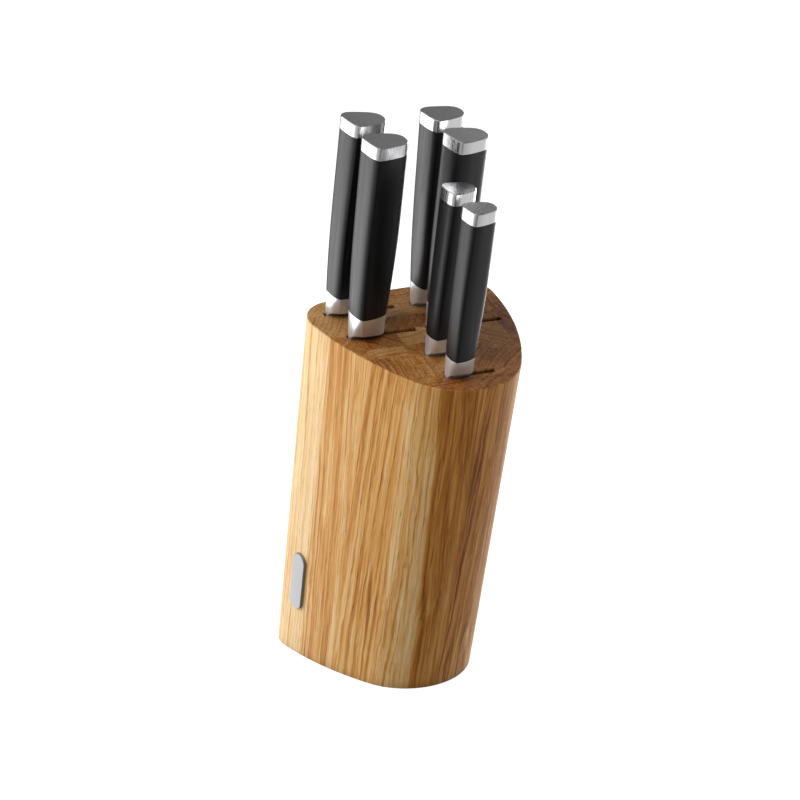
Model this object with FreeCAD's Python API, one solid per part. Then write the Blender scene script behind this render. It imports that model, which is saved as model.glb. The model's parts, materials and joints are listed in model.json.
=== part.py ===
"""Leaning oak knife block with six knives: one solid per glued stave, strip, fitting and knife piece.

The design frame has x along the slots, y to the back and z up the block's own axis, with its
origin at the centre of the top face. The whole design is then tilted forward and moved so that
the bottom centre of its bounding box is the model's origin. Lengths are in millimetres.
"""
import FreeCAD, Part
import math
import os

from FreeCAD import Placement, Rotation, Vector

# ---------------------------------------------------------------- block
TILT_DEG = 15.0          # lean of the block's axis towards the user
AXIS_LENGTH = 253.6      # top face to base, along the axis
RIM_CHAMFER = 0.5        # round the top face
BASE_ROUND = 0.5         # round the base

# Plan outline: three corner circles joined by three large tangent arcs, anticlockwise from above.
FRONT_CORNER = (Vector(3.0, -18.7), 46.0)
RIGHT_CORNER = (Vector(49.8, 46.7), 18.0)
LEFT_CORNER = (Vector(-45.5, 35.5), 22.4)
RIGHT_SIDE_RADIUS = 176.0
BACK_SIDE_RADIUS = 487.0
LEFT_SIDE_RADIUS = 223.0

# ---------------------------------------------------------------- slots
SLOT_WIDTH = 4.0
ROW_1, ROW_2, ROW_3, ROW_4 = 41.6, 11.2, -19.4, -46.2      # y of the slot rows, back to front
SLOTS = {                                                  # x range of each slot
    ROW_1: [(-55.8, -6.0), (4.6, 50.0)],
    ROW_2: [(-52.2, -4.5), (1.6, 56.0)],
    ROW_3: [(-13.2, 19.0)],
    ROW_4: [(-12.6, 22.0)],
}

# Glue lines between the staves.
LEFT_COLUMN, RIGHT_COLUMN = -43.0, 51.0
MIDDLE_LINE = 12.0
UPPER_LINE, LOWER_LINE = 29.5, -6.0
SPAN = 100.0                                               # beyond the outline on every side

# ---------------------------------------------------------------- feet and badge
FOOT_RADIUS, FOOT_HEIGHT = 8.0, 3.5
FOOT_BEVEL = 0.8
FOOT_PLACES = [(-21.0, -41.5), (27.0, -38.0), (-53.0, 28.0), (57.0, 28.0)]   # x, y in plan
SCREW_HEAD_RADIUS, SCREW_HEAD_HEIGHT = 3.0, 1.6
SCREW_RADIUS, SCREW_LENGTH = 1.5, 14.0
HEAD_RECESS = 0.4                                          # screw head sunk in the rubber
FIT = 0.05                                                 # radial clearance round screws

BADGE_LENGTH, BADGE_WIDTH = 46.0, 12.5
BADGE_THICKNESS, PAD_THICKNESS = 1.9, 0.3
BADGE_CENTRE = (20.5, -196.0)                              # y and z on the left side
BADGE_EDGE = 0.35

# ---------------------------------------------------------------- knives
BLADE_THICKNESS = 2.4
EDGE_THICKNESS = 0.3
SPINE_INSET = 1.6        # handle's origin to the spine line
NECK_DEPTH = 12.0        # top face to heel
CHOIL_RADIUS = 9.0
TANG_WIDTH, TANG_CENTRE = 9.0, 11.5
TANG_FIT = 0.1
COVE_RADIUS = 6.0        # hollow under both sides of the bolster
LIP_HEIGHT = 3.8         # underside of the bolster above the block
LIP_DEPTH = 2.0          # how far the thin lip of the bolster reaches into the slot

# Handle sections, anticlockwise from the front ridge, for the large handles.
# x runs from the spine side to the edge side, y from the blade's middle plane.
FOOT_SECTION = [
    (6.2, -7.4), (2.4, -5.2), (1.2, -1.6), (1.2, 2.8), (3.0, 6.0), (6.4, 7.2),
    (12.6, 7.5), (18.2, 6.9), (21.0, 4.4), (22.0, 0.2), (21.8, -5.4), (15.6, -7.5), (10.6, -7.7),
]
COLLAR_SECTION = [
    (3.7, -11.5), (1.4, -7.2), (0.5, -2.0), (0.8, 3.8), (2.8, 7.4), (6.4, 9.0),
    (12.8, 9.0), (18.6, 7.6), (21.7, 5.0), (23.0, 0.4), (22.3, -4.9), (15.6, -9.5), (9.4, -11.1),
]
MIDDLE_SECTION = [
    (2.1, -11.8), (0.1, -6.9), (-0.7, -0.2), (-0.5, 6.2), (1.8, 9.4), (5.6, 10.2),
    (13.2, 9.8), (20.4, 7.9), (23.8, 5.2), (25.0, 0.4), (24.1, -4.8), (16.0, -9.5), (8.8, -11.4),
]
BUTT_SECTION = [
    (2.6, -11.9), (0.2, -6.5), (-1.0, 0.8), (-0.9, 7.2), (1.6, 10.0), (5.2, 10.8),
    (13.5, 9.8), (20.8, 7.6), (23.4, 5.0), (24.4, 0.4), (23.4, -4.8), (15.6, -9.3), (8.6, -11.3),
]
SECTION_CENTRE = Vector(11.8, -0.5)
RIDGE_ROUND = 1.2
WAIST_SHARE, WAIST_FILL = 0.15, 0.45     # just above the collar, how full the handle already is
MIDDLE_SHARE = 0.5
BUTT_EDGE = 0.4          # small bevel round the butt face

# scale in x and y, then heights of the bolster's top, the grip's top and the butt
LARGE = {"scale": (1.0, 1.0), "bolster_top": 17.4, "grip_top": 122.4, "butt": 130.0}
LONG = {"scale": (1.0, 1.0), "bolster_top": 16.2, "grip_top": 123.6, "butt": 131.2}
SMALL = {"scale": (0.76, 0.74), "bolster_top": 14.1, "grip_top": 103.5, "butt": 111.0}

# x of the handle's origin, slot row, lean in the slot in degrees, handle, blade length and
# height, drop of the spine at the tip, and how full the edge's curve is
KNIVES = {
    "bread": dict(x=-54.8, row=ROW_1, lean=0.9, handle=LONG, length=200.0, height=34.0, drop=6.0,
                  belly=5.0),
    "carving": dict(x=4.5, row=ROW_1, lean=-2.3, handle=LONG, length=200.0, height=32.0, drop=8.0,
                    belly=3.2),
    "chef": dict(x=-52.0, row=ROW_2, lean=0.0, handle=LARGE, length=200.0, height=45.0, drop=8.0,
                 belly=2.2),
    "santoku": dict(x=1.5, row=ROW_2, lean=-0.4, handle=LARGE, length=175.0, height=46.0, drop=26.0,
                    belly=3.6),
    "utility": dict(x=-13.3, row=ROW_3, lean=-0.4, handle=SMALL, length=140.0, height=27.0, drop=6.0,
                    belly=2.8),
    "paring": dict(x=-12.7, row=ROW_4, lean=-0.6, handle=SMALL, length=90.0, height=21.0, drop=5.0,
                   belly=2.4),
}
SERRATION_PITCH, SERRATION_DEPTH = 7.0, 1.3

TILT = Placement(Vector(), Rotation(Vector(1, 0, 0), TILT_DEG))
BASE_Z = -AXIS_LENGTH * math.cos(math.radians(TILT_DEG))   # height of the base after the tilt


# ---------------------------------------------------------------- helpers
def placed(shape, placement):
    """Return a copy of the shape moved by the placement."""
    copy = shape.copy()
    copy.Placement = placement * copy.Placement
    return copy


def box(x_range, y_range, z_range):
    """Return a box between three pairs of limits."""
    corner = Vector(x_range[0], y_range[0], z_range[0])
    sizes = [high - low for low, high in (x_range, y_range, z_range)]
    return Part.makeBox(*sizes, corner)


def side_centre(start, end, radius):
    """Centre of a large arc that joins two corner circles, tangent to both, round the outside."""
    (p, r), (q, s) = start, end
    chord = q - p
    reach_p, reach_q = radius - r, radius - s
    along = (chord.Length ** 2 + reach_p ** 2 - reach_q ** 2) / (2 * chord.Length)
    across = math.sqrt(reach_p ** 2 - along ** 2)
    unit = chord / chord.Length
    return p + unit * along + Vector(-unit.y, unit.x) * across


def arc_through(centre, radius, start, end):
    """Short arc about a centre between two points on it."""
    middle = (start + end) * 0.5 - centre
    return Part.Arc(start, centre + middle * (radius / middle.Length), end).toShape()


# ---------------------------------------------------------------- block
def outline_face():
    """Plan outline of the block, as a face at the top."""
    corners = [FRONT_CORNER, RIGHT_CORNER, LEFT_CORNER]
    radii = [RIGHT_SIDE_RADIUS, BACK_SIDE_RADIUS, LEFT_SIDE_RADIUS]
    sides = [side_centre(corners[i], corners[(i + 1) % 3], radii[i]) for i in range(3)]

    def touch(corner, side):
        centre, radius = corner
        away = centre - side
        return centre + away * (radius / away.Length)

    edges = []
    for i, (centre, radius) in enumerate(corners):
        following = corners[(i + 1) % 3]
        start, end = touch(corners[i], sides[i - 1]), touch(corners[i], sides[i])
        edges.append(arc_through(centre, radius, start, end))
        edges.append(arc_through(sides[i], radii[i], end, touch(following, sides[i])))
    return Part.Face(Part.Wire(edges))


def whole_block():
    """The glued block before its glue lines: a leaning prism with a level base and softened rims."""
    prism = outline_face().extrude(Vector(0, 0, -2 * AXIS_LENGTH))
    below = box((-400, 400), (-400, 400), (BASE_Z - 800, BASE_Z))
    block = prism.cut(placed(below, TILT.inverse()))
    base = min(block.Faces, key=lambda face: face.CenterOfMass.z)
    block = block.makeFillet(BASE_ROUND, base.Edges)
    top = max(block.Faces, key=lambda face: face.CenterOfMass.z)
    return block.makeChamfer(RIM_CHAMFER, top.Edges)


def stave_limits():
    """Plan limits of every stave and slot strip, as name: (x range, y range)."""
    half = SLOT_WIDTH / 2
    left, right = (-SPAN, LEFT_COLUMN), (RIGHT_COLUMN, SPAN)
    rear = (ROW_1 + half, SPAN)
    upper = (ROW_2 + half, ROW_1 - half)
    lower = (ROW_3 + half, ROW_2 - half)
    front = (ROW_4 + half, ROW_3 - half)
    nose = (-SPAN, ROW_4 - half)
    limits = {
        "rear_stave_left": (left, rear),
        "rear_stave_middle": ((LEFT_COLUMN, MIDDLE_LINE), rear),
        "rear_stave_right": ((MIDDLE_LINE, SPAN), rear),
        "upper_column_left": (left, upper),
        "upper_column_right": (right, upper),
        "upper_stave_rear": ((LEFT_COLUMN, RIGHT_COLUMN), (UPPER_LINE, upper[1])),
        "upper_stave_left": ((LEFT_COLUMN, MIDDLE_LINE), (upper[0], UPPER_LINE)),
        "upper_stave_right": ((MIDDLE_LINE, RIGHT_COLUMN), (upper[0], UPPER_LINE)),
        "lower_column_left": (left, lower),
        "lower_column_right": (right, lower),
        "lower_stave_rear_left": ((LEFT_COLUMN, -20.0), (LOWER_LINE, lower[1])),
        "lower_stave_rear_middle": ((-20.0, MIDDLE_LINE), (LOWER_LINE, lower[1])),
        "lower_stave_front_left": ((LEFT_COLUMN, -22.0), (lower[0], LOWER_LINE)),
        "lower_stave_front_middle": ((-22.0, MIDDLE_LINE), (lower[0], LOWER_LINE)),
        "lower_stave_right": ((MIDDLE_LINE, RIGHT_COLUMN), lower),
        "front_stave_left": ((-SPAN, -14.0), front),
        "front_stave_middle": ((-14.0, 4.0), front),
        "front_stave_right": ((4.0, SPAN), front),
        "nose_stave_left": ((-SPAN, 5.0), nose),
        "nose_stave_right": ((5.0, SPAN), nose),
    }
    for number, (row, slots) in enumerate(SLOTS.items(), start=1):
        edges = [-SPAN] + [x for slot in slots for x in slot] + [SPAN]
        gaps = list(zip(edges[0::2], edges[1::2]))
        places = ["left", "middle", "right"] if len(gaps) == 3 else ["left", "right"]
        for place, gap in zip(places, gaps):
            limits[f"row_{number}_strip_{place}"] = (gap, (row - half, row + half))
    return limits


# ---------------------------------------------------------------- feet
def foot_point(x, y):
    """Point of the level base, after the tilt, under a plan position of the block."""
    z = -AXIS_LENGTH - y * math.tan(math.radians(TILT_DEG))
    return TILT.multVec(Vector(x, y, z))


def rubber_foot(point):
    """Bevelled rubber disc with a counterbore for its screw."""
    disc = Part.makeCylinder(FOOT_RADIUS, FOOT_HEIGHT, point, Vector(0, 0, -1))
    lowest = min(disc.Edges, key=lambda edge: edge.CenterOfMass.z)
    disc = disc.makeChamfer(FOOT_BEVEL, [lowest])
    counterbore = SCREW_HEAD_HEIGHT + HEAD_RECESS
    bottom = point - Vector(0, 0, FOOT_HEIGHT)
    hole = Part.makeCylinder(SCREW_RADIUS + FIT, FOOT_HEIGHT, bottom)
    recess = Part.makeCylinder(SCREW_HEAD_RADIUS + FIT, counterbore, bottom)
    return disc.cut(hole.fuse(recess))


def foot_screw(point):
    """Pan-head wood screw that holds a foot."""
    head_base = point - Vector(0, 0, FOOT_HEIGHT - HEAD_RECESS)
    head = Part.makeCylinder(SCREW_HEAD_RADIUS, SCREW_HEAD_HEIGHT, head_base)
    lowest = min(head.Edges, key=lambda edge: edge.CenterOfMass.z)
    head = head.makeFillet(SCREW_HEAD_HEIGHT * 0.5, [lowest])
    cross = [box((-a, a), (-b, b), (-0.1, 0.8)) for a, b in ((1.8, 0.35), (0.35, 1.8))]
    recess = placed(cross[0].fuse(cross[1]), Placement(head_base, Rotation()))
    shank = Part.makeCylinder(SCREW_RADIUS, SCREW_LENGTH - 2.5, head_base)
    tip_base = head_base + Vector(0, 0, SCREW_LENGTH - 2.5)
    tip = Part.makeCone(SCREW_RADIUS, 0.2, 2.5, tip_base)
    return head.fuse([shank, tip]).cut(recess).removeSplitter()


def screw_bore(point):
    """Pilot hole in the wood above a foot."""
    depth = SCREW_LENGTH - FOOT_HEIGHT + HEAD_RECESS + 1.0
    return Part.makeCylinder(SCREW_RADIUS + FIT, depth + 1.0, point - Vector(0, 0, 1.0))


# ---------------------------------------------------------------- badge
def badge_layer(inner, outer, edge=0.0):
    """Stadium on the curved left side, between two distances from the wood."""
    centre = side_centre(LEFT_CORNER, FRONT_CORNER, LEFT_SIDE_RADIUS)
    y, z = BADGE_CENTRE
    radial = Vector(-math.sqrt(LEFT_SIDE_RADIUS ** 2 - (y - centre.y) ** 2), y - centre.y).normalize()
    turn = Rotation(Vector(0, 0, 1), radial.negative())
    straight = BADGE_LENGTH - BADGE_WIDTH
    half = BADGE_WIDTH / 2
    points = [Vector(half, -straight / 2), Vector(half, straight / 2), Vector(0, straight / 2 + half),
              Vector(-half, straight / 2), Vector(-half, -straight / 2),
              Vector(0, -straight / 2 - half)]
    stadium = Part.Wire([
        Part.LineSegment(points[0], points[1]).toShape(),
        Part.Arc(points[1], points[2], points[3]).toShape(),
        Part.LineSegment(points[3], points[4]).toShape(),
        Part.Arc(points[4], points[5], points[0]).toShape(),
    ])
    across = Vector(0, 0, 1).cross(radial)
    frame = Rotation(across, Vector(0, 0, 1), radial.negative(), "ZXY")
    start = centre + radial * (LEFT_SIDE_RADIUS + 10) + Vector(0, 0, z)
    prism = placed(Part.Face(stadium), Placement(start, frame)).extrude(radial * -20)
    low = Vector(centre.x, centre.y, z - BADGE_LENGTH)
    tall = 2 * BADGE_LENGTH
    ring = Part.makeCylinder(LEFT_SIDE_RADIUS + outer, tall, low).cut(
        Part.makeCylinder(LEFT_SIDE_RADIUS + inner, tall, low))
    layer = prism.common(ring)
    if edge:
        outside = max(layer.Faces, key=lambda face: (face.CenterOfMass - centre).dot(radial))
        layer = layer.makeChamfer(edge, outside.Edges)
    return layer


# ---------------------------------------------------------------- handles
def section_wire(points, scale, z, shrink=1.0):
    """Closed handle section with a rounded ridge at its first point."""
    centre = Vector(SECTION_CENTRE.x * scale[0], SECTION_CENTRE.y * scale[1], z)
    corners = [Vector(x * scale[0], y * scale[1], z) for x, y in points]
    ridge = corners[0]
    flanks = [(corners[i] - ridge).normalize() for i in (1, -1)]
    half_angle = flanks[0].getAngle(flanks[1]) / 2
    reach = RIDGE_ROUND / math.tan(half_angle)
    inward = (flanks[0] + flanks[1]).normalize()
    crest = ridge + inward * (RIDGE_ROUND / math.sin(half_angle) - RIDGE_ROUND)
    corners = [crest, ridge + flanks[0] * reach] + corners[1:] + [ridge + flanks[1] * reach]
    corners = [centre + (corner - centre) * shrink for corner in corners]
    curve = Part.BSplineCurve()
    curve.interpolate(Points=corners, PeriodicFlag=True)
    return Part.Wire([curve.toShape()])


def between(first, second, share):
    """Section points a given share of the way from the first section to the second."""
    return [(a + (c - a) * share, b + (d - b) * share) for (a, b), (c, d) in zip(first, second)]


def section_at(share):
    """Section at a share of the handle's height, from the collar to the butt."""
    waist = between(COLLAR_SECTION, MIDDLE_SECTION, WAIST_FILL)
    stations = [(0.0, COLLAR_SECTION), (WAIST_SHARE, waist), (MIDDLE_SHARE, MIDDLE_SECTION),
                (1.0, BUTT_SECTION)]
    for (low, first), (high, second) in zip(stations, stations[1:]):
        if share <= high:
            return between(first, second, (share - low) / (high - low))
    return BUTT_SECTION


def handle_wires(handle, heights):
    """Handle sections at the given heights, from collar to butt."""
    span = handle["butt"] - handle["bolster_top"]
    return [section_wire(section_at((z - handle["bolster_top"]) / span), handle["scale"], z)
            for z in heights]


def tang_bar(handle, low, high, fit=0.0):
    """Flat tang between two heights, or the hole for it when a fit is given."""
    centre = TANG_CENTRE * handle["scale"][0]
    half_x = TANG_WIDTH * handle["scale"][0] / 2 + fit
    half_y = BLADE_THICKNESS / 2 + fit
    return box((centre - half_x, centre + half_x), (-half_y, half_y), (low, high))


def bolster(handle):
    """Steel collar hollowed underneath on both sides, down to a thin lip that enters the slot."""
    top = handle["bolster_top"]
    scale = handle["scale"]
    low = between(FOOT_SECTION, COLLAR_SECTION, -(LIP_HEIGHT + LIP_DEPTH) / (top - LIP_HEIGHT))
    middle = between(FOOT_SECTION, COLLAR_SECTION, 0.55)
    wires = [section_wire(low, scale, -LIP_DEPTH), section_wire(FOOT_SECTION, scale, LIP_HEIGHT),
             section_wire(middle, scale, (LIP_HEIGHT + top) / 2),
             section_wire(COLLAR_SECTION, scale, top)]
    body = Part.makeLoft(wires, True, False)
    for side in (-1, 1):
        y = side * (BLADE_THICKNESS / 2 + COVE_RADIUS)
        cove = Part.makeCylinder(COVE_RADIUS, 90, Vector(-30, y, LIP_HEIGHT - COVE_RADIUS),
                                 Vector(1, 0, 0))
        beyond = box((-30, 60), sorted((y, side * 30)), (-30, LIP_HEIGHT))
        body = body.cut(cove.fuse(beyond))
    return body.cut(tang_bar(handle, -10, top + 10, TANG_FIT))


def grip(handle):
    """Dark handle body with a hole for the tang."""
    low, high = handle["bolster_top"], handle["grip_top"]
    span = handle["butt"] - low
    waist, middle = low + WAIST_SHARE * span, low + MIDDLE_SHARE * span
    wires = handle_wires(handle, [low, waist, middle, (middle + high) / 2, high])
    body = Part.makeLoft(wires, True, False)
    return body.cut(tang_bar(handle, low - 10, high + 10, TANG_FIT))


def end_cap(handle):
    """Steel cap with a flat, slightly bevelled butt face, pocketed for the end of the tang."""
    low, butt = handle["grip_top"], handle["butt"]
    scale = handle["scale"]
    edge = butt - BUTT_EDGE
    shrink = 1 - BUTT_EDGE / (SECTION_CENTRE.x * scale[0])
    wires = handle_wires(handle, [low, (low + edge) / 2, edge])
    wires.append(section_wire(BUTT_SECTION, scale, butt, shrink))
    body = Part.makeLoft(wires, True, True)
    pocket = tang_bar(handle, low - 10, low + 3.5 + TANG_FIT, TANG_FIT)
    return body.cut(pocket)


# ---------------------------------------------------------------- blades
def blade_section(spine, edge, thick, z):
    """Tapering blade section across the blade, from the spine to the cutting edge."""
    corners = [Vector(spine, -thick / 2, z), Vector(edge, -EDGE_THICKNESS / 2, z),
               Vector(edge, EDGE_THICKNESS / 2, z), Vector(spine, thick / 2, z)]
    return Part.makePolygon(corners + corners[:1])


def blade(knife, serrated):
    """Ground blade with its neck and its tang, in one piece."""
    handle = knife["handle"]
    spine, height, length = SPINE_INSET, knife["height"], knife["length"]
    stations = 14
    wires = []
    for i in range(stations + 1):
        share = math.sin(0.5 * math.pi * i / stations)
        drop = knife["drop"] * share ** 4
        rise = (height - knife["drop"] - 1.0) * (1 - math.sqrt(max(0.0, 1 - share ** (2 * knife["belly"]))))
        thick = BLADE_THICKNESS * (1 - 0.55 * share)
        wires.append(blade_section(spine + drop, spine + height - rise, thick,
                                   -NECK_DEPTH - length * share))
    body = Part.makeLoft(wires, True, True)

    neck_right = TANG_CENTRE * handle["scale"][0] + TANG_WIDTH * handle["scale"][0] / 2
    bend = 1 - math.sqrt(0.5)
    heel_x, heel_z = neck_right + CHOIL_RADIUS, -NECK_DEPTH
    points = [Vector(spine, 0, heel_z - 1), Vector(heel_x, 0, heel_z - 1), Vector(heel_x, 0, heel_z),
              Vector(neck_right, 0, heel_z + CHOIL_RADIUS), Vector(neck_right, 0, -LIP_DEPTH),
              Vector(spine, 0, -LIP_DEPTH)]
    choil = Vector(neck_right + CHOIL_RADIUS * bend, 0, heel_z + CHOIL_RADIUS * bend)
    edges = [Part.LineSegment(a, b).toShape() for a, b in zip(points, points[1:] + points[:1])]
    edges[2] = Part.Arc(points[2], choil, points[3]).toShape()
    plate = Part.Face(Part.Wire(edges)).extrude(Vector(0, BLADE_THICKNESS, 0))
    plate.translate(Vector(0, -BLADE_THICKNESS / 2, 0))
    wedge = Part.Face(blade_section(spine, spine + height, BLADE_THICKNESS, -NECK_DEPTH - 1))
    neck = plate.common(wedge.extrude(Vector(0, 0, NECK_DEPTH + 5)))

    tang = tang_bar(handle, -NECK_DEPTH + 1, handle["grip_top"] + 3.5)
    body = body.fuse([neck, tang]).removeSplitter()
    if serrated:
        body = body.cut(serrations(knife))
    return body


def serrations(knife):
    """Scallops along the straight part of a serrated edge."""
    edge = SPINE_INSET + knife["height"]
    radius = (SERRATION_PITCH ** 2 / 4 + SERRATION_DEPTH ** 2) / (2 * SERRATION_DEPTH)
    count = int(0.78 * knife["length"] / SERRATION_PITCH)
    scallops = []
    for i in range(count):
        z = -NECK_DEPTH - SERRATION_PITCH * (i + 1.0)
        centre = Vector(edge - SERRATION_DEPTH + radius, -5, z)
        scallops.append(Part.makeCylinder(radius, 10, centre, Vector(0, 1, 0)))
    return Part.makeCompound(scallops)


# ---------------------------------------------------------------- assembly
def build():
    """Return every node's shape in the tilted frame, by name."""
    shapes = {}
    feet = [foot_point(x, y) for x, y in FOOT_PLACES]
    bores = Part.makeCompound([placed(screw_bore(point), TILT.inverse()) for point in feet])
    block = whole_block()
    for name, (x_range, y_range) in stave_limits().items():
        stave = block.common(box(x_range, y_range, (-2 * AXIS_LENGTH, 10)))
        shapes[name] = placed(stave.cut(bores), TILT)

    shapes["rubber_feet"] = Part.makeCompound([rubber_foot(point) for point in feet])
    shapes["foot_screws"] = Part.makeCompound([foot_screw(point) for point in feet])
    shapes["badge_pad"] = placed(badge_layer(0.0, PAD_THICKNESS), TILT)
    plate = badge_layer(PAD_THICKNESS, PAD_THICKNESS + BADGE_THICKNESS, BADGE_EDGE)
    shapes["badge_plate"] = placed(plate, TILT)

    for name, knife in KNIVES.items():
        handle = knife["handle"]
        lean = Rotation(Vector(0, 1, 0), knife["lean"])
        seat = TILT * Placement(Vector(knife["x"], knife["row"], 0), lean)
        shapes[f"{name}_blade"] = placed(blade(knife, serrated=name == "bread"), seat)
        shapes[f"{name}_bolster"] = placed(bolster(handle), seat)
        shapes[f"{name}_grip"] = placed(grip(handle), seat)
        shapes[f"{name}_end_cap"] = placed(end_cap(handle), seat)
    return shapes


def main():
    """Export every node, with the bottom centre of the whole object at the origin."""
    os.makedirs("parts", exist_ok=True)
    shapes = build()
    whole = Part.makeCompound(list(shapes.values())).optimalBoundingBox(False, False)
    origin = Vector(whole.Center.x, whole.Center.y, whole.ZMin)
    for name, shape in shapes.items():
        moved = placed(shape, Placement(origin.negative(), Rotation()))
        moved.exportStep(f"parts/{name}.step")


main()
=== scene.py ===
"""Leaning oak knife block with six knives: materials, floor, lights and camera round the fixed frame."""
import json
import math

import bpy
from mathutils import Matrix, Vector


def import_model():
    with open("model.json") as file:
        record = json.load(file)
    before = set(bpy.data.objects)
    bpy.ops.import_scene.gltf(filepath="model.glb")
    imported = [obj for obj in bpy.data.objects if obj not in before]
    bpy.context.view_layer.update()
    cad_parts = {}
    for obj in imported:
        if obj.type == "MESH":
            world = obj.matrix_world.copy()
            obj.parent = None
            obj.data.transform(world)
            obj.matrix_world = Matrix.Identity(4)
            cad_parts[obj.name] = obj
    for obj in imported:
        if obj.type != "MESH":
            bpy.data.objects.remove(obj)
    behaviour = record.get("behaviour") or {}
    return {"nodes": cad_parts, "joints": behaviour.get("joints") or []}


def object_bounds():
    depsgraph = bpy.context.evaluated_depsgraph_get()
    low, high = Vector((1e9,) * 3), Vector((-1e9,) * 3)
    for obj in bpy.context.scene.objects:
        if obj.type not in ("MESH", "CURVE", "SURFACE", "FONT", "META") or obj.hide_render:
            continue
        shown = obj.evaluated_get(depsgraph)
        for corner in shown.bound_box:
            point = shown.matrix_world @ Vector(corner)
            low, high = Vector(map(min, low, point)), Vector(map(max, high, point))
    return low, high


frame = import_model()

CAD_BOX = [list(corner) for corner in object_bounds()]
LOW, HIGH = (Vector(corner) for corner in CAD_BOX)
MIDDLE = (LOW + HIGH) / 2
MM = 0.001

# ---------------------------------------------------------------- the block's own frame
# AXIS runs up the leaning block, PLAN_X along the slots and PLAN_Y to the back.
AXIS = Vector(frame["joints"][0]["axis"]).normalized()
PLAN_X = Vector((1, 0, 0))
PLAN_Y = AXIS.cross(PLAN_X)
LEAN = math.acos(AXIS.z)

# The design's plan measures, in mm, start at the centre of the top face. Two of them tell where that
# is: the glue line between the two big rear staves, and the front side of the second slot row.
REAR_GLUE_LINE_X = 12
ROW_2_FRONT_Y = 9.2


def lowest(node, direction):
    """Lowest distance of a node's points along a direction."""
    return min(direction.dot(v.co) for v in frame["nodes"][node].data.vertices)


PLAN_ORIGIN = (PLAN_X * (lowest("rear_stave_right", PLAN_X) - REAR_GLUE_LINE_X * MM)
               + PLAN_Y * (lowest("row_2_strip_middle", PLAN_Y) - ROW_2_FRONT_Y * MM)
               - AXIS * lowest("rear_stave_middle", -AXIS))


def plan(x, y):
    """Point of the model frame at plan measures in mm, level with the centre of the top face."""
    return PLAN_ORIGIN + (PLAN_X * x + PLAN_Y * y) * MM


# ---------------------------------------------------------------- node trees
class Nodes:
    """Short way to write a node tree."""

    def __init__(self, tree):
        self.tree = tree

    def put(self, socket, value):
        """Link a socket, or set it to a plain value."""
        if isinstance(value, bpy.types.NodeSocket):
            self.tree.links.new(value, socket)
        else:
            socket.default_value = value

    def node(self, kind, inputs, output=0, **settings):
        """Add a node, fill its inputs and return one of its outputs."""
        node = self.tree.nodes.new("ShaderNode" + kind)
        for key, value in settings.items():
            setattr(node, key, value)
        for key, value in inputs.items():
            self.put(node.inputs[key], value)
        return node.outputs[output]

    def math(self, operation, a, b=0.0):
        """Sum on numbers."""
        return self.node("Math", {0: a, 1: b}, operation=operation)

    def vector(self, operation, a, b=(0, 0, 0), output="Vector"):
        """Sum on vectors."""
        return self.node("VectorMath", {0: a, 1: b}, output, operation=operation)

    def separate(self, vector):
        """The three components of a vector."""
        node = self.tree.nodes.new("ShaderNodeSeparateXYZ")
        self.put(node.inputs[0], vector)
        return node.outputs

    def remap(self, value, low, high, to_low=0.0, to_high=1.0, smooth=True):
        """Clamped change of range."""
        kind = "SMOOTHSTEP" if smooth else "LINEAR"
        inputs = {0: value, 1: low, 2: high, 3: to_low, 4: to_high}
        return self.node("MapRange", inputs, interpolation_type=kind)


class Material(Nodes):
    """Material with one principled shader, and the noises and mixes that feed it."""

    def __init__(self, name, **shader_values):
        self.material = bpy.data.materials.new(name)
        self.material.use_nodes = True
        super().__init__(self.material.node_tree)
        self.tree.nodes.clear()
        output = self.tree.nodes.new("ShaderNodeOutputMaterial")
        self.shader = self.tree.nodes.new("ShaderNodeBsdfPrincipled")
        self.tree.links.new(self.shader.outputs[0], output.inputs[0])
        for key, value in shader_values.items():
            self.set(key.replace("_", " "), value)

    def set(self, name, value):
        """Fill one of the shader's inputs."""
        self.put(self.shader.inputs[name], value)

    def bump(self, height, distance):
        """Bump the surface by a height, with the distance in metres."""
        self.set("Normal", self.node("Bump", {"Height": height, "Distance": distance}))

    def block_coordinates(self, start=(0.0, 0.0)):
        """Coordinates along the slots, to the back and up the block's axis, from a plan point in mm."""
        point = plan(*start)
        offset = [-direction.dot(point) for direction in (PLAN_X, PLAN_Y, AXIS)]
        inputs = {"Vector": self.node("TexCoord", {}, "Object"), "Location": offset,
                  "Rotation": (-LEAN, 0, 0)}
        return self.node("Mapping", inputs, vector_type="POINT")

    def facing_axis(self):
        """How squarely the surface faces along the block's axis, from 0 to 1."""
        normal = self.node("NewGeometry", {}, "Normal")
        return self.math("ABSOLUTE", self.vector("DOT_PRODUCT", normal, tuple(AXIS), "Value"))

    def noise(self, vector, stretch, seed=0.0, detail=2.0, roughness=0.5, output=0):
        """Noise with this many features to the metre in each direction."""
        scaled = self.vector("MULTIPLY", vector, stretch)
        inputs = {"Vector": scaled, "W": seed, "Scale": 1.0, "Detail": detail, "Roughness": roughness}
        return self.node("TexNoise", inputs, output, noise_dimensions="4D")

    def waver(self, vector, stretch, size, seed, detail):
        """Sideways shift that changes from place to place, by up to half the size in metres."""
        shift = self.noise(vector, stretch, seed, detail, output="Color")
        shift = self.vector("SUBTRACT", shift, (0.5, 0.5, 0.5))
        return self.vector("MULTIPLY", shift, (size, size, 0.0))

    def mix(self, share, a, b, blend="MIX"):
        """Mix of two colours."""
        return self.node("Mix", {0: share, 6: a, 7: b}, 2, data_type="RGBA", blend_type=blend)

    def ramp(self, value, stops):
        """Colour ramp with stops given as (place, colour)."""
        node = self.tree.nodes.new("ShaderNodeValToRGB")
        elements = node.color_ramp.elements
        while len(elements) < len(stops):
            elements.new(0.5)
        for element, (place, colour) in zip(elements, stops):
            element.position = place
            element.color = (*colour, 1.0)
        self.put(node.inputs[0], value)
        return node.outputs[0]


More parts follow.
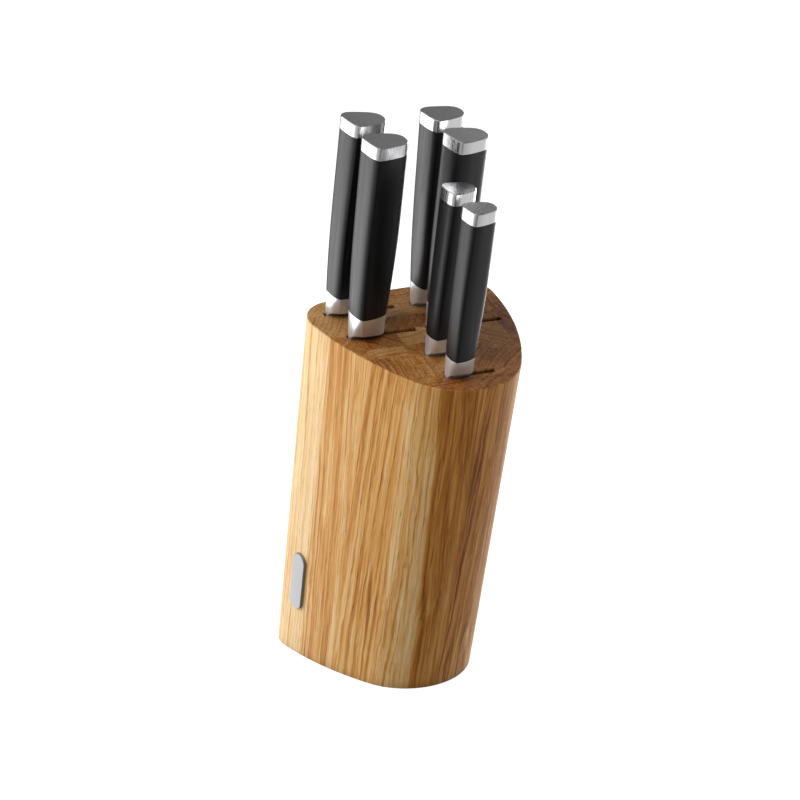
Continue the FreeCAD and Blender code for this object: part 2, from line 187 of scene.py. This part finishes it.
# ---------------------------------------------------------------- oak
OAK_STOPS = [(0.0, (0.150, 0.040, 0.005)), (0.30, (0.390, 0.142, 0.020)),
             (0.60, (0.600, 0.300, 0.076)), (1.0, (0.780, 0.570, 0.300))]
END_GRAIN_TINT = (0.62, 0.50, 0.38, 1.0)
PORE_TINT = (0.36, 0.25, 0.16, 1.0)
RAY_COLOUR = (0.80, 0.58, 0.34, 1.0)
# colour of the painted shade in the slots
PAINTED_SLOT_SHADE = (0.10, 0.07, 0.05, 1.0)

# How the grain wavers, from a slow sweep to a fine ripple: waves to the metre, and size in metres.
WAVERS = [((11, 11, 3.0), 0.012), ((60, 60, 20), 0.0034), ((260, 260, 62), 0.0011)]

# How much each layer of noise along the grain changes the tone.
BROAD_DEPTH, BAND_DEPTH, STREAK_DEPTH, HAIR_DEPTH = 0.55, 0.80, 1.15, 0.50

# How much the early wood darkens the sides and the end grain.
SIDE_RING_DEPTH, END_RING_DEPTH = 0.28, 0.50

# A flaw's squeeze along the grain, its radius where it is darkest and where it ends, and its depth.
FLAW_SQUEEZE = 0.055
FLAW_CORE, FLAW_EDGE = 0.0004, 0.0024
FLAW_DEPTH = 0.62

HEART_EDGE = 0.0008      # half the width of the change to heartwood
SLOT_REACH = 0.020       # how far off wood shades wood


def early_wood(n, radius, spacing, seed):
    """Dark open wood that starts each growth ring, in rings of uneven width and darkness."""
    count = n.math("DIVIDE", radius, spacing * MM)
    uneven = n.node("TexNoise", {"W": n.math("MULTIPLY", count, 0.45), "Scale": 1.0, "Detail": 1.0},
                    noise_dimensions="1D")
    count = n.math("ADD", count, n.math("MULTIPLY", uneven, 2.2))
    ring = n.math("FRACT", count)
    year = n.node("TexWhiteNoise", {"W": n.math("ADD", n.math("FLOOR", count), seed)},
                  noise_dimensions="1D")
    early = n.math("POWER", n.math("SUBTRACT", 1.0, ring), 2.6)
    early = n.math("MULTIPLY", early, n.remap(ring, 0.0, 0.07))
    return n.math("MULTIPLY", early, n.remap(year, 0.0, 1.0, 0.45, 1.35, smooth=False))


def flaw_darkness(n, flaw, bend):
    """Dark mineral streak at a plan point and a height in mm, bent like the grain."""
    away = n.vector("SUBTRACT", n.block_coordinates(flaw[:2]), (0.0, 0.0, flaw[2] * MM))
    away = n.vector("MULTIPLY", n.vector("ADD", away, bend), (1, 1, FLAW_SQUEEZE))
    return n.remap(n.vector("LENGTH", away, output="Value"), FLAW_CORE, FLAW_EDGE, FLAW_DEPTH, 0.0)


def rays(n, bent, radius, end_grain, seed):
    """Share of ray colour: fine lines from the pith on end grain, small flecks on quartered faces."""
    x, y, z = n.separate(bent)
    fan = n.node("CombineXYZ", {0: n.math("MULTIPLY", n.math("ARCTAN2", y, x), 240.0),
                                1: n.math("MULTIPLY", radius, 130.0),
                                2: n.math("MULTIPLY", z, 90.0)})
    ray = n.remap(n.noise(fan, (1, 1, 1), seed, 1.0), 0.56, 0.72)
    return n.math("MULTIPLY", ray, n.remap(end_grain, 0.0, 1.0, 0.08, 0.40, smooth=False))


def oak(name, pith, spacing, tone, slope, flaw, heart, seed):
    """Solid oak with growth rings round a pith at a plan point in mm, darker on its end grain.

    The slope is how far the grain leans off the block's axis. The flaw and the heart can be None.
    """
    n = Material(name, Specular_IOR_Level=0.20)
    place = n.block_coordinates(pith)
    height = n.separate(place)[2]
    place = n.vector("ADD", place, n.node("CombineXYZ", {0: n.math("MULTIPLY", height, slope[0]),
                                                         1: n.math("MULTIPLY", height, slope[1])}))
    bent = place
    for step, (stretch, size) in enumerate(WAVERS):
        bent = n.vector("ADD", bent, n.waver(place, stretch, size, seed + 2.0 * step, 1.5))

    radius = n.vector("LENGTH", n.vector("MULTIPLY", bent, (1, 1, 0)), output="Value")
    early = early_wood(n, radius, spacing, seed)
    end_grain = n.remap(n.facing_axis(), 0.55, 0.9)

    # tone: broad patches, bands and streaks along the grain, rings, flaw and heartwood
    broad = n.noise(place, (30, 30, 2.2), seed + 7)
    band = n.noise(bent, (150, 150, 3.2), seed + 9, roughness=0.6)
    streak = n.noise(bent, (520, 520, 9), seed + 11, detail=3.0, roughness=0.62)
    hair = n.noise(bent, (1900, 1900, 30), seed + 13, roughness=0.6)
    for layer, depth in ((broad, BROAD_DEPTH), (band, BAND_DEPTH), (streak, STREAK_DEPTH),
                         (hair, HAIR_DEPTH)):
        tone = n.math("ADD", tone, n.math("MULTIPLY", n.math("SUBTRACT", layer, 0.5), depth))
    ring_depth = n.remap(end_grain, 0.0, 1.0, SIDE_RING_DEPTH, END_RING_DEPTH, smooth=False)
    tone = n.math("SUBTRACT", tone, n.math("MULTIPLY", early, ring_depth))
    if flaw:
        tone = n.math("SUBTRACT", tone, flaw_darkness(n, flaw, n.vector("SUBTRACT", bent, place)))
    if heart:
        start = (heart[0] - pith[0]) * MM
        tone = n.math("SUBTRACT", tone, n.remap(n.separate(bent)[0], start - HEART_EDGE,
                                                start + HEART_EDGE, 0.0, heart[1]))
    colour = n.ramp(tone, OAK_STOPS)
    colour = n.mix(rays(n, bent, radius, end_grain, seed + 17), colour, RAY_COLOUR)

    # pores, crowded into the early wood: dots on end grain, dashes on the sides
    pore = n.remap(n.noise(bent, (2300, 2300, 75), seed + 19, 1.0), 0.55, 0.68)
    pore = n.math("MULTIPLY", pore, n.remap(early, 0.0, 0.6, 0.30, 1.0))
    colour = n.mix(n.math("MULTIPLY", pore, 0.62), colour, PORE_TINT, "MULTIPLY")
    colour = n.mix(end_grain, colour, END_GRAIN_TINT, "MULTIPLY")

    # painted shade: little light reaches the unfinished wood inside the slots and next to the knives, so
    # ambient occlusion darkens the base colour there
    opening = n.node("AmbientOcclusion", {"Distance": SLOT_REACH}, "AO", samples=4)
    colour = n.mix(n.remap(opening, 0.08, 0.75, 0.95, 0.0), colour, PAINTED_SLOT_SHADE, "MULTIPLY")

    n.set("Base Color", colour)
    n.set("Roughness", n.remap(early, 0.0, 1.0, 0.50, 0.66, smooth=False))
    n.bump(n.math("SUBTRACT", n.math("MULTIPLY", hair, 0.3), pore), 0.00010)
    return n.material


# Each board's pith in plan mm, ring spacing in mm, tone from dark 0 to pale 1, grain slope and nodes.
# Staves and strips cut from one board share a pith.
STAVES = {
    "upper_left_column": ((-112, 62), 3.0, 0.90, (0.02, 0.01), ("upper_column_left",)),
    "lower_left_column": ((-112, 62), 3.0, 0.62, (0.03, -0.02), ("lower_column_left",
                                                                  "row_2_strip_left")),
    "rear_left": ((-20, 5), 2.6, 0.95, (0.0, 0.02), ("rear_stave_left", "row_1_strip_left")),
    "rear_middle": ((0, 78), 3.0, 0.76, (-0.01, 0.0), ("rear_stave_middle", "row_1_strip_middle")),
    "rear_right": ((90, 20), 2.7, 0.55, (0.0, 0.01), ("rear_stave_right", "row_1_strip_right")),
    "right_column": ((160, 30), 2.6, 0.44, (0.01, 0.0), ("upper_column_right", "lower_column_right",
                                                         "row_2_strip_right")),
    "upper_rear": ((10, -60), 3.4, 0.95, (0.0, 0.0), ("upper_stave_rear",)),
    "upper_left": ((-60, 60), 2.4, 0.46, (0.0, 0.0), ("upper_stave_left",)),
    "upper_right": ((60, -50), 2.7, 0.52, (0.0, 0.0), ("upper_stave_right",)),
    "lower_rear_left": ((-70, -40), 2.8, 0.42, (0.0, 0.0), ("lower_stave_rear_left",)),
    "lower_rear_middle": ((-30, 90), 3.2, 0.95, (0.0, 0.0), ("lower_stave_rear_middle",
                                                             "row_2_strip_middle")),
    "lower_front_left": ((-30, -90), 2.2, 0.85, (0.0, 0.0), ("lower_stave_front_left",)),
    "lower_front_middle": ((20, 60), 2.6, 0.55, (0.0, 0.0), ("lower_stave_front_middle",)),
    "lower_right": ((90, 50), 2.9, 0.66, (0.0, 0.0), ("lower_stave_right",)),
    "front_left": ((-190, -25), 3.1, 0.69, (-0.02, 0.02), ("front_stave_left", "row_3_strip_left")),
    "front_middle": ((-60, 30), 2.5, 0.80, (0.0, 0.0), ("front_stave_middle",)),
    "front_right": ((110, -130), 3.0, 0.56, (0.01, 0.02), ("front_stave_right", "row_3_strip_right")),
    "nose_left": ((-20, 40), 2.4, 0.65, (0.02, 0.0), ("nose_stave_left", "row_4_strip_left")),
    "nose_right": ((70, -130), 2.7, 0.50, (-0.02, 0.01), ("nose_stave_right", "row_4_strip_right")),
}
SEED_STEP = 5.3

# A flaw's plan point and height in mm, and the plan x in mm where darker heartwood starts, with how
# much darker it is.
FLAWS = {"front_left": (-40.0, -38.0, -178.0)}
HEARTS = {"nose_left": (-20.0, 0.30)}


# ---------------------------------------------------------------- metals, grip, rubber
# The stretch is features to the metre, so the grinding lines run where it is smallest.
# Bolsters are cooler and part dull, so that they look like steel and not like the wood beside them.
STEELS = {
    "handle_steel": {"colour": (0.68, 0.68, 0.69), "roughness": 0.27, "stretch": (2400, 2400, 60),
                     "depth": 0.0000012},
    "blade_steel": {"colour": (0.62, 0.63, 0.65), "roughness": 0.27, "stretch": (60, 60, 3500)},
    "bolster_steel": {"colour": (0.72, 0.77, 0.81), "roughness": 0.34, "stretch": (2400, 2400, 60),
                      "metallic": 0.74},
    "badge_steel": {"colour": (0.32, 0.32, 0.33), "roughness": 0.57, "stretch": (1800, 90, 3000),
                    "metallic": 0.85},
    "zinc": {"colour": (0.55, 0.56, 0.58), "roughness": 0.34, "stretch": (1500, 1500, 1500),
             "depth": 0.00002},
}


def steel(name, colour, roughness, stretch, depth=0.000002, metallic=1.0):
    """Satin metal with fine grinding lines, fainter on faces square to the block's axis."""
    n = Material(name, Metallic=metallic)
    place = n.block_coordinates()
    line_share = n.remap(n.facing_axis(), 0.4, 0.8, 1.0, 0.12)
    lines = n.math("SUBTRACT", n.noise(place, stretch, 1.0, roughness=0.6), 0.5)
    lines = n.math("ADD", n.math("MULTIPLY", lines, line_share), 0.5)
    haze = n.math("SUBTRACT", n.noise(place, (55, 55, 30), 5.0), 0.5)
    darker = [part * 0.96 for part in colour]
    n.set("Base Color", n.mix(n.remap(lines, 0.3, 0.7), (*darker, 1), (*colour, 1)))
    rough = n.remap(lines, 0.3, 0.7, roughness - 0.015, roughness + 0.02)
    n.set("Roughness", n.math("ADD", rough, n.math("MULTIPLY", haze, 0.05)))
    n.bump(lines, depth)
    return n.material


def black_grip():
    """Satin black laminate with faint streaks along the handle."""
    n = Material("black_grip", Specular_IOR_Level=0.30)
    place = n.block_coordinates()
    bent = n.vector("ADD", place, n.waver(place, (30, 30, 12), 0.009, 2.0, 1.0))
    layer = n.noise(bent, (300, 300, 6), 4.0, 3.0, 0.6)
    hair = n.noise(bent, (1500, 1500, 40), 6.0, 2.0, 0.6)
    grain = n.math("ADD", n.math("MULTIPLY", layer, 0.7), n.math("MULTIPLY", hair, 0.3))
    n.set("Base Color", n.ramp(grain, [(0.40, (0.0022, 0.0022, 0.0026)),
                                       (0.54, (0.004, 0.004, 0.0045)),
                                       (0.66, (0.014, 0.014, 0.015))]))
    n.set("Roughness", n.remap(grain, 0.35, 0.65, 0.46, 0.38))
    n.bump(grain, 0.00002)
    return n.material


def speckled(name, specular, fineness, dark, light, roughness, depth):
    """Dull material in fine specks of two shades, with this many specks to the metre."""
    n = Material(name, Specular_IOR_Level=specular)
    speck = n.noise(n.block_coordinates(), (fineness, fineness, fineness), 3.0)
    n.set("Base Color", n.mix(speck, (*dark, 1), (*light, 1)))
    n.set("Roughness", n.remap(speck, 0.3, 0.7, *roughness))
    n.bump(speck, depth)
    return n.material


def rubber():
    """Black rubber of the feet."""
    return speckled("rubber", 0.4, 1800, (0.012, 0.012, 0.012), (0.035, 0.035, 0.034),
                    (0.62, 0.8), 0.00006)


def adhesive():
    """Grey foam tape behind the badge."""
    return speckled("adhesive", 0.3, 2500, (0.10, 0.10, 0.10), (0.26, 0.26, 0.25),
                    (0.6, 0.85), 0.00005)


def assign(material, *nodes):
    """Give CAD nodes a material."""
    for name in nodes:
        mesh = frame["nodes"][name].data
        mesh.materials.clear()
        mesh.materials.append(material)


def finish_materials():
    """Give every CAD node its material."""
    for number, (board, (pith, spacing, tone, slope, nodes)) in enumerate(STAVES.items()):
        wood = oak("oak_" + board, pith, spacing, tone, slope, FLAWS.get(board), HEARTS.get(board),
                   number * SEED_STEP)
        assign(wood, *nodes)
    steels = {name: steel(name, **values) for name, values in STEELS.items()}
    knife_parts = {"_blade": steels["blade_steel"], "_end_cap": steels["handle_steel"],
                   "_bolster": steels["bolster_steel"], "_grip": black_grip()}
    for ending, material in knife_parts.items():
        assign(material, *[node for node in frame["nodes"] if node.endswith(ending)])
    assign(steels["badge_steel"], "badge_plate")
    assign(adhesive(), "badge_pad")
    assign(rubber(), "rubber_feet")
    assign(steels["zinc"], "foot_screws")


# ---------------------------------------------------------------- floor
FLOOR_SIZE = 60.0
DOME_RADIUS = 29.0


def backdrop():
    """Pale plain floor with a pale dome over it. Both glow, and are hidden from reflections."""
    n = Material("floor", Roughness=0.9, Specular_IOR_Level=0.1, Emission_Strength=0.98,
                 Emission_Color=(1, 1, 1, 1))
    wear = n.noise(n.node("TexCoord", {}, "Object"), (3, 3, 3))
    n.set("Base Color", n.mix(wear, (0.30, 0.30, 0.30, 1), (0.32, 0.32, 0.32, 1)))
    centre = (0, 0, LOW.z)
    bpy.ops.mesh.primitive_plane_add(size=FLOOR_SIZE, location=centre)
    plane = bpy.context.object
    plane.name = "floor"
    bpy.ops.mesh.primitive_uv_sphere_add(segments=48, ring_count=24, radius=DOME_RADIUS,
                                         location=centre)
    dome = bpy.context.object
    dome.name = "backdrop"
    dome.visible_shadow = False
    for piece in (plane, dome):
        piece.data.materials.append(n.material)
        piece.visible_glossy = False
        piece.visible_diffuse = False


# ---------------------------------------------------------------- light
# Surroundings as (direction, cosine where it starts, cosine where it is full, grey): a bright patch
# low behind the left side, then dim ones low on the right, on the left and behind the right side.
GLOWS = [((-0.62, 0.68, -0.39), 0.84, 0.985, 4.3), ((0.86, -0.05, -0.50), 0.45, 0.95, 0.64),
         ((-0.95, 0.10, 0.30), 0.40, 0.95, 0.60), ((0.82, 0.57, -0.05), 0.72, 0.97, 1.8)]
DIM = 0.13

# Soft lights that face one point: place, width and height, and power in watts.
LIGHTS_FACE = Vector((0, 0, 0.22))
LIGHTS = {
    "key": ((-1.25, 0.35, 0.95), (0.9, 0.9), 13.0),
    "front": ((-1.05, -1.0, 1.35), (0.8, 0.8), 12.0),
    "rim": ((1.15, 0.75, 0.3), (0.7, 1.0), 13.0),
    "fill": ((1.3, -0.9, 0.35), (0.8, 0.8), 6.5),
}


def world():
    """Dim surroundings with soft glows."""
    studio = bpy.data.worlds.new("studio")
    studio.use_nodes = True
    n = Nodes(studio.node_tree)
    direction = n.node("TexCoord", {}, "Generated")
    total = DIM
    for towards, start, full, grey in GLOWS:
        closeness = n.vector("DOT_PRODUCT", direction, Vector(towards).normalized(), "Value")
        total = n.math("ADD", n.remap(closeness, start, full, 0.0, grey), total)
    n.put(studio.node_tree.nodes["Background"].inputs["Color"], total)
    bpy.context.scene.world = studio


def lights():
    """Rectangular soft lights that the camera doesn't see."""
    for name, (place, size, power) in LIGHTS.items():
        data = bpy.data.lights.new(name, "AREA")
        data.shape = "RECTANGLE"
        data.size, data.size_y = size
        data.energy = power
        light = bpy.data.objects.new(name, data)
        light.location = place
        light.rotation_euler = (LIGHTS_FACE - Vector(place)).to_track_quat("-Z", "Y").to_euler()
        light.visible_camera = False
        bpy.context.scene.collection.objects.link(light)


# ---------------------------------------------------------------- camera
# Angles in degrees and lengths in metres. The camera faces a point aside from the middle of the
# object, at a share of its height.
CAMERA_AZIMUTH, CAMERA_ELEVATION = 24.97, 18.33
CAMERA_DISTANCE = 0.930
CAMERA_ASIDE = (-0.0315, -0.0482)
CAMERA_HEIGHT_SHARE = 0.561
LENS, SENSOR_WIDTH = 68.6, 36.0


def camera():
    """Camera to the left of the block's front, looking down on it."""
    azimuth, elevation = math.radians(CAMERA_AZIMUTH), math.radians(CAMERA_ELEVATION)
    target = Vector((MIDDLE.x + CAMERA_ASIDE[0], MIDDLE.y + CAMERA_ASIDE[1],
                     LOW.z + CAMERA_HEIGHT_SHARE * (HIGH.z - LOW.z)))
    forward = Vector((math.sin(azimuth) * math.cos(elevation),
                      math.cos(azimuth) * math.cos(elevation), -math.sin(elevation)))
    data = bpy.data.cameras.new("camera")
    data.sensor_width = SENSOR_WIDTH
    data.lens = LENS
    data.clip_end = 100.0
    view = bpy.data.objects.new("camera", data)
    view.location = target - forward * CAMERA_DISTANCE
    view.rotation_euler = forward.to_track_quat("-Z", "Y").to_euler()
    bpy.context.scene.collection.objects.link(view)
    bpy.context.scene.camera = view


finish_materials()
backdrop()
world()
lights()
camera()
bpy.context.scene.view_settings.view_transform = "Standard"
